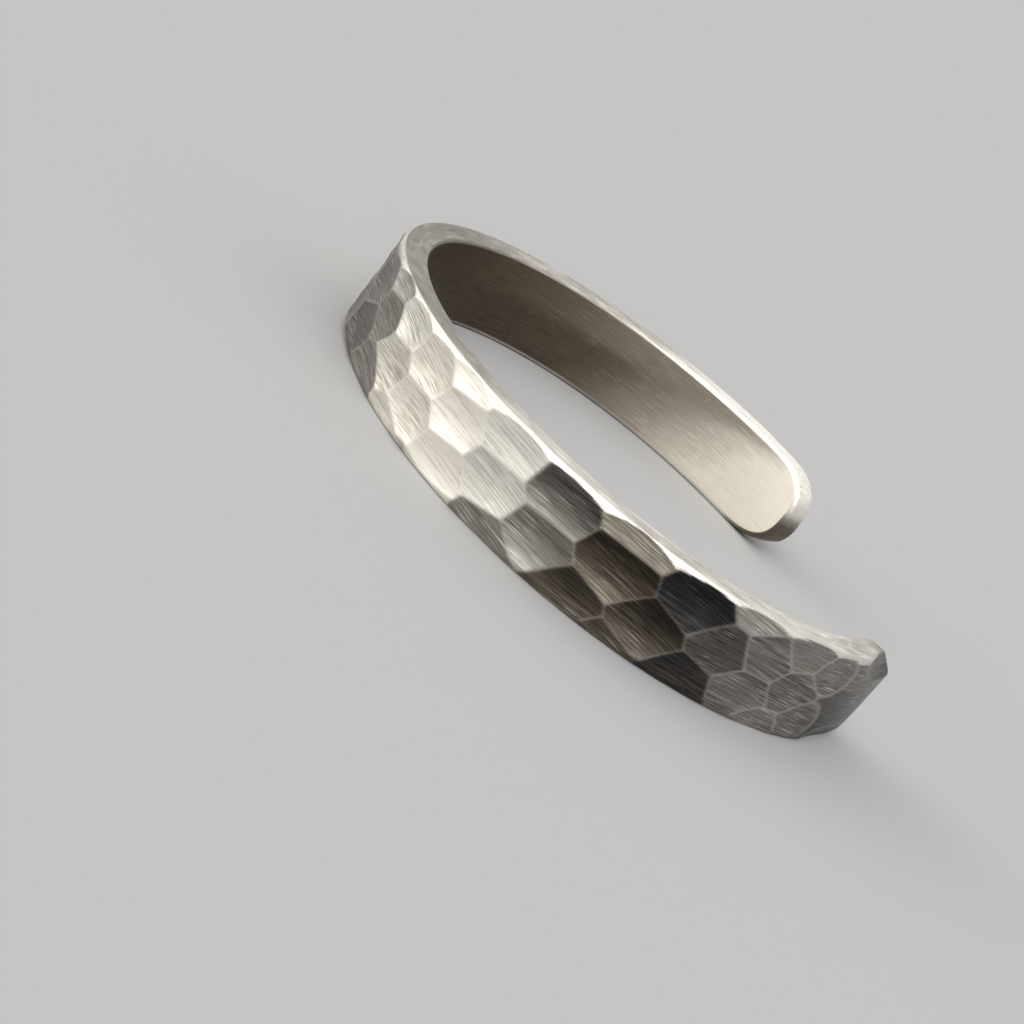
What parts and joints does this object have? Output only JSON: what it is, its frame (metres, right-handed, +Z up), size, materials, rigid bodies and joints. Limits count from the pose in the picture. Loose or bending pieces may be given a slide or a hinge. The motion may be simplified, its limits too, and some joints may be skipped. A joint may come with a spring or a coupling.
{
  "type": "cuff bracelet",
  "caption": "Hammered silver cuff bracelet: an open oval band with filed bevels and rounded ends, put on over the side of the wrist.",
  "frame": {"origin": "under the middle of the cuff, on the surface that its lower rim rests on", "axes": "+Z up through the wrist hollow, square to the rims; +X towards the gap between the ends; Y across the cuff, along its greatest width"},
  "size_m": [0.0548, 0.0668, 0.0095],
  "materials": {
    "silver": "brushed and lightly oxidised silver"
  },
  "bodies": {
    "root": {"cuff_band": "silver"}
  },
  "joints": []
}
